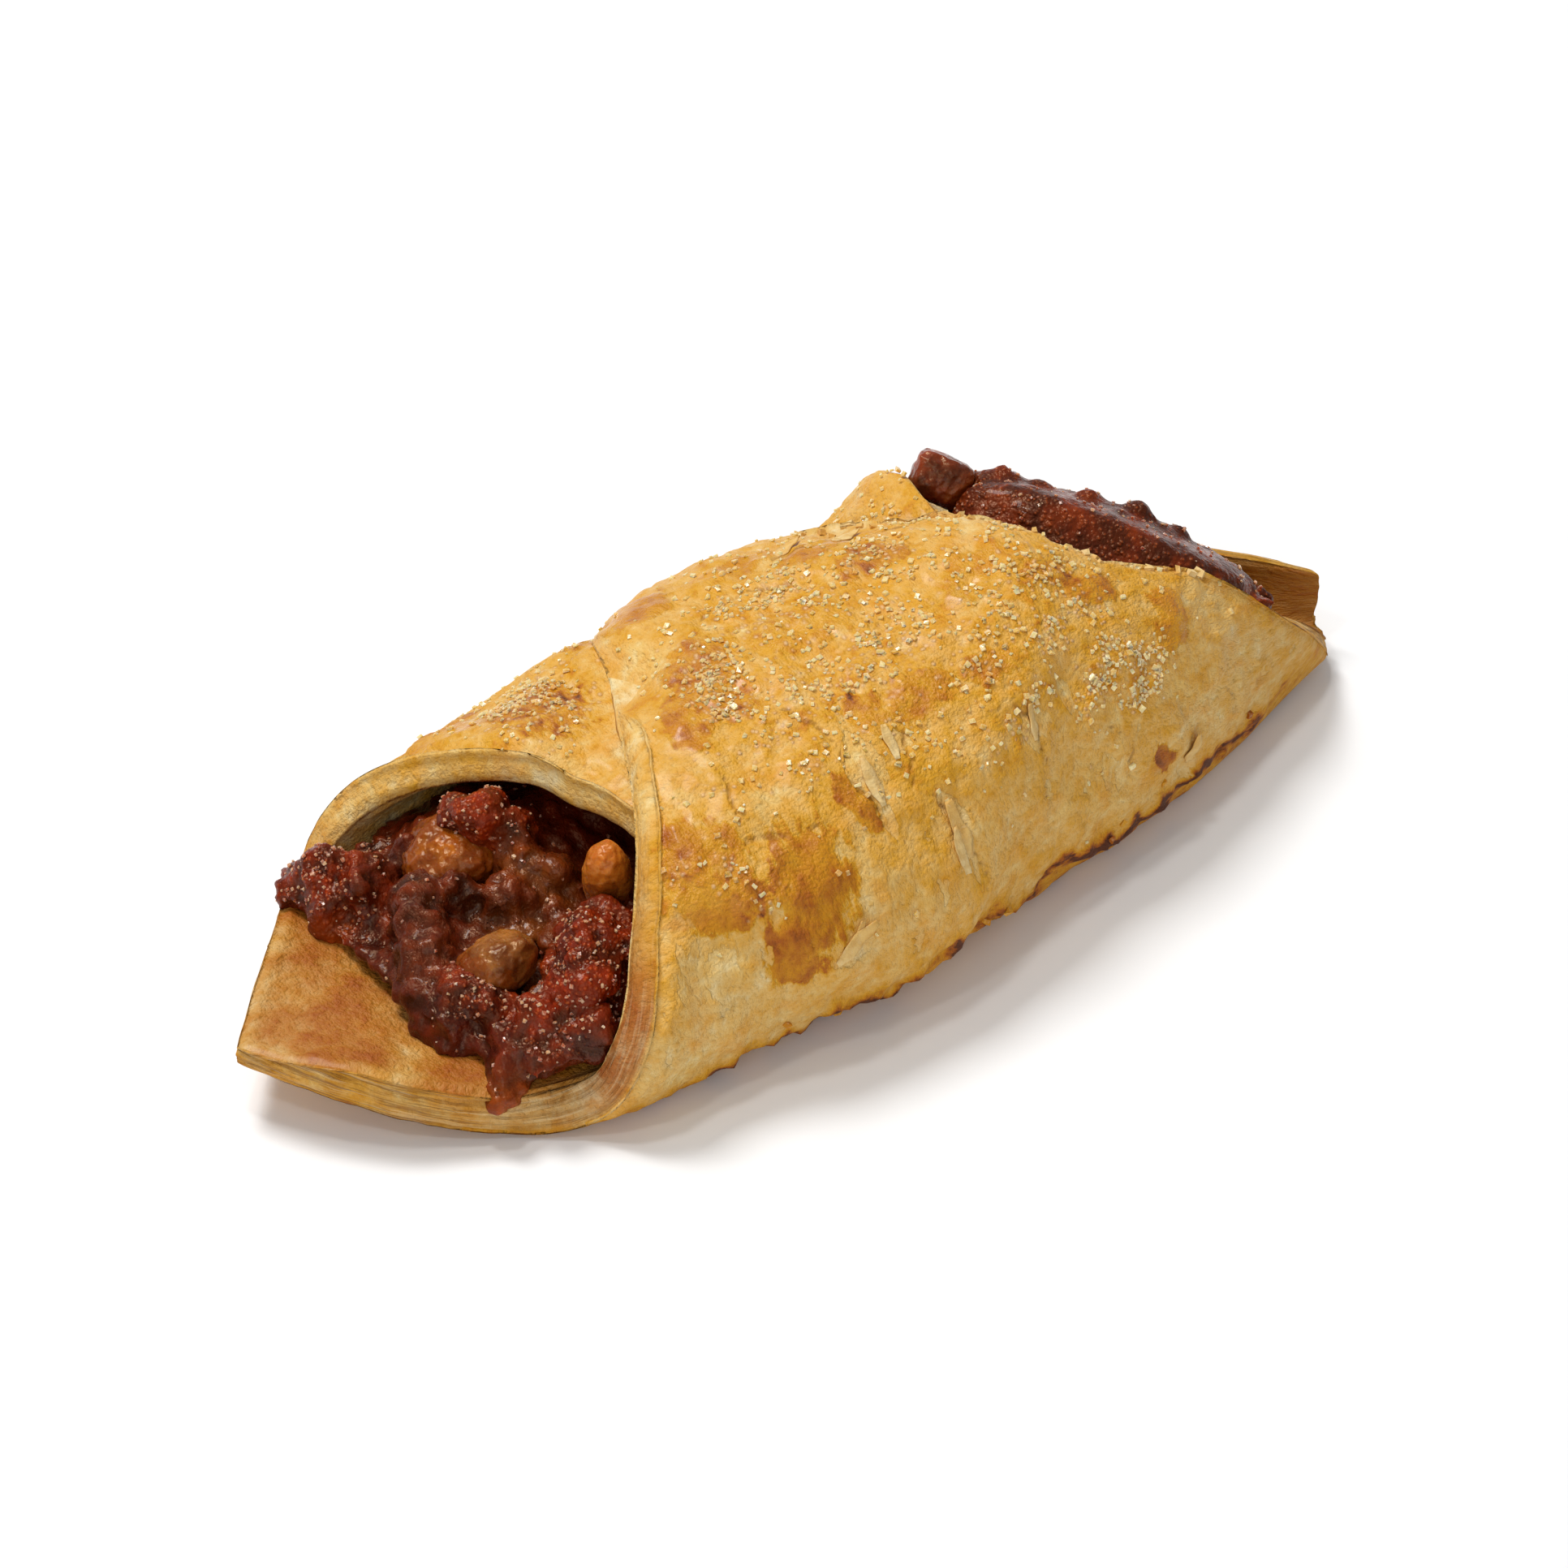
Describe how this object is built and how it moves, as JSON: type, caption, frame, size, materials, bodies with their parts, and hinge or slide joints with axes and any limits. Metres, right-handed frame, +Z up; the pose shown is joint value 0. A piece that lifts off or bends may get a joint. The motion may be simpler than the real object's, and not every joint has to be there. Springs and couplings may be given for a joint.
{
  "type": "guava pastry",
  "caption": "Flaky layered pastry folded corner to corner over a dark red fruit paste, open at one end, sugar grains on its golden crust",
  "frame": {"origin": "on the table plane, under the middle of the pastry's bounding box", "axes": "+X along the pastry, from the open front corner to the narrow back corner; +Z up; the flap folded last comes from -Y"},
  "size_m": [0.14, 0.0618, 0.0318],
  "materials": {
    "crust": "baked dough, satin where washed, matt on the cut edges",
    "fruit_paste": "wet, dark red and glossy",
    "amber_flesh": "glossy, cloudy amber",
    "pale_flesh": "glossy, cloudy yellow brown",
    "strip_flesh": "glossy orange brown",
    "back_flesh": "glossy reddish brown"
  },
  "bodies": {
    "root": {"dough": "crust", "filling": "fruit_paste", "fruit_piece_amber": "amber_flesh", "fruit_piece_pale": "pale_flesh", "fruit_strip": "strip_flesh", "fruit_piece_back": "back_flesh"}
  },
  "joints": []
}
